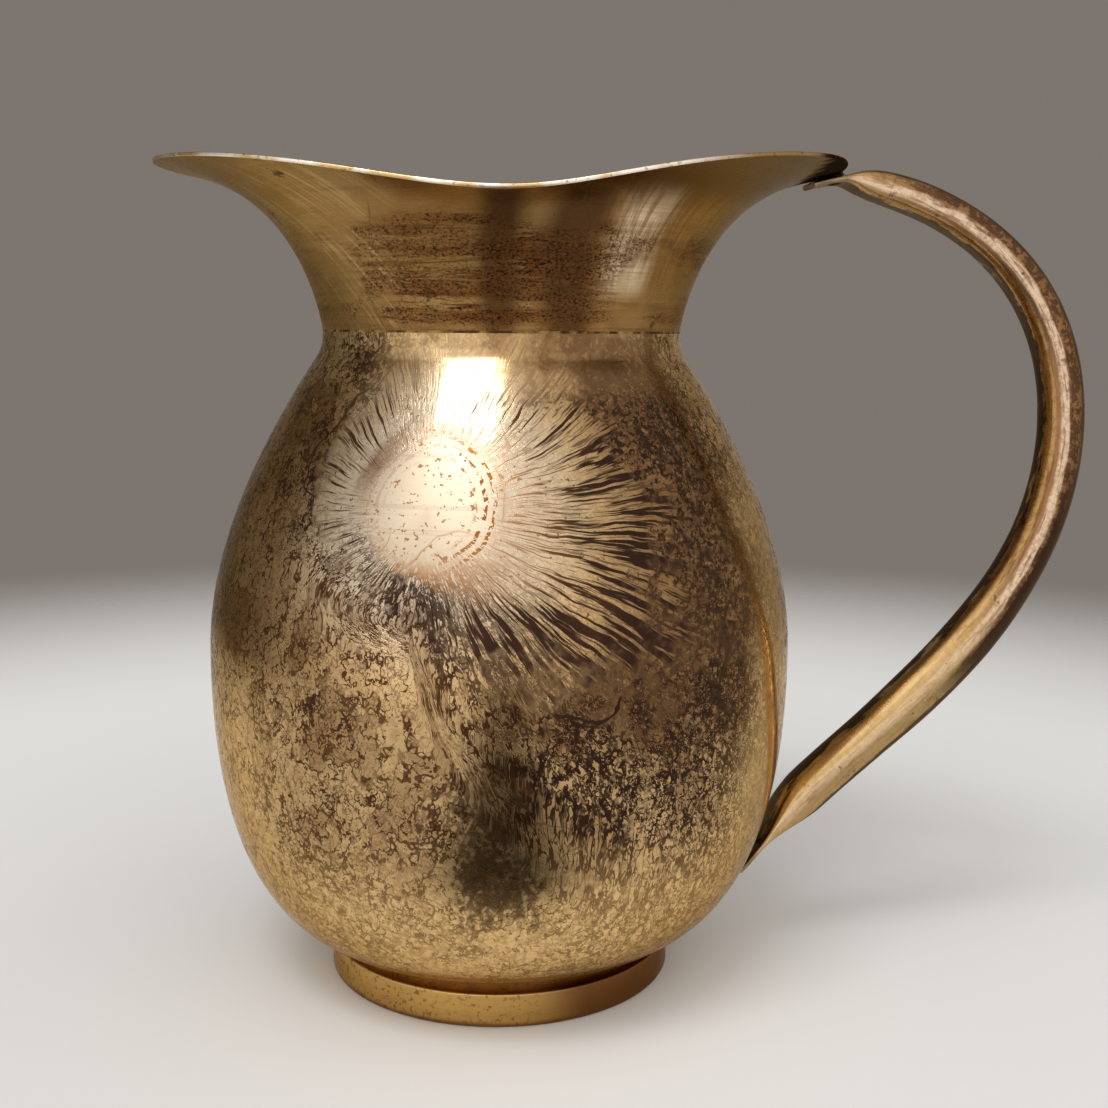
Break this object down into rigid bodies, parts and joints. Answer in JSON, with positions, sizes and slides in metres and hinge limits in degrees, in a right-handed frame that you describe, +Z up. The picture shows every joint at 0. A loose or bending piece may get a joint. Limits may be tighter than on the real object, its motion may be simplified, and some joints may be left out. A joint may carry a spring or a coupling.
{
  "type": "water jug",
  "caption": "Free-standing brass water jug with an egg-shaped body, a flared neck with a saddle-cut pouring lip, a foot ring and one hollow loop handle.",
  "frame": {"origin": "centre of the foot ring's resting face, on the axis of the body", "axes": "+Z up along the body's axis, +X towards the handle, the pouring tip of the lip on -X"},
  "size_m": [0.2547, 0.1578, 0.2204],
  "materials": {
    "body_brass": "polished, lacquered, with a speckled umber patina and radial streaks",
    "neck_brass": "satin spun, with horizontal brown bands of patina",
    "foot_brass": "satin, mostly clean, darker in the cove",
    "handle_brass": "polished along the grip, warm brown patina at the sides",
    "seam_braze": "dull, slightly rough",
    "dark_braze": "heat-blackened, rough"
  },
  "bodies": {
    "root": {"body_shell": "body_brass", "neck_flare": "neck_brass", "neck_braze": "seam_braze", "foot_ring": "foot_brass", "foot_solder": "seam_braze", "handle_tube": "handle_brass", "handle_lip_braze": "dark_braze", "handle_body_braze": "dark_braze"}
  },
  "joints": []
}
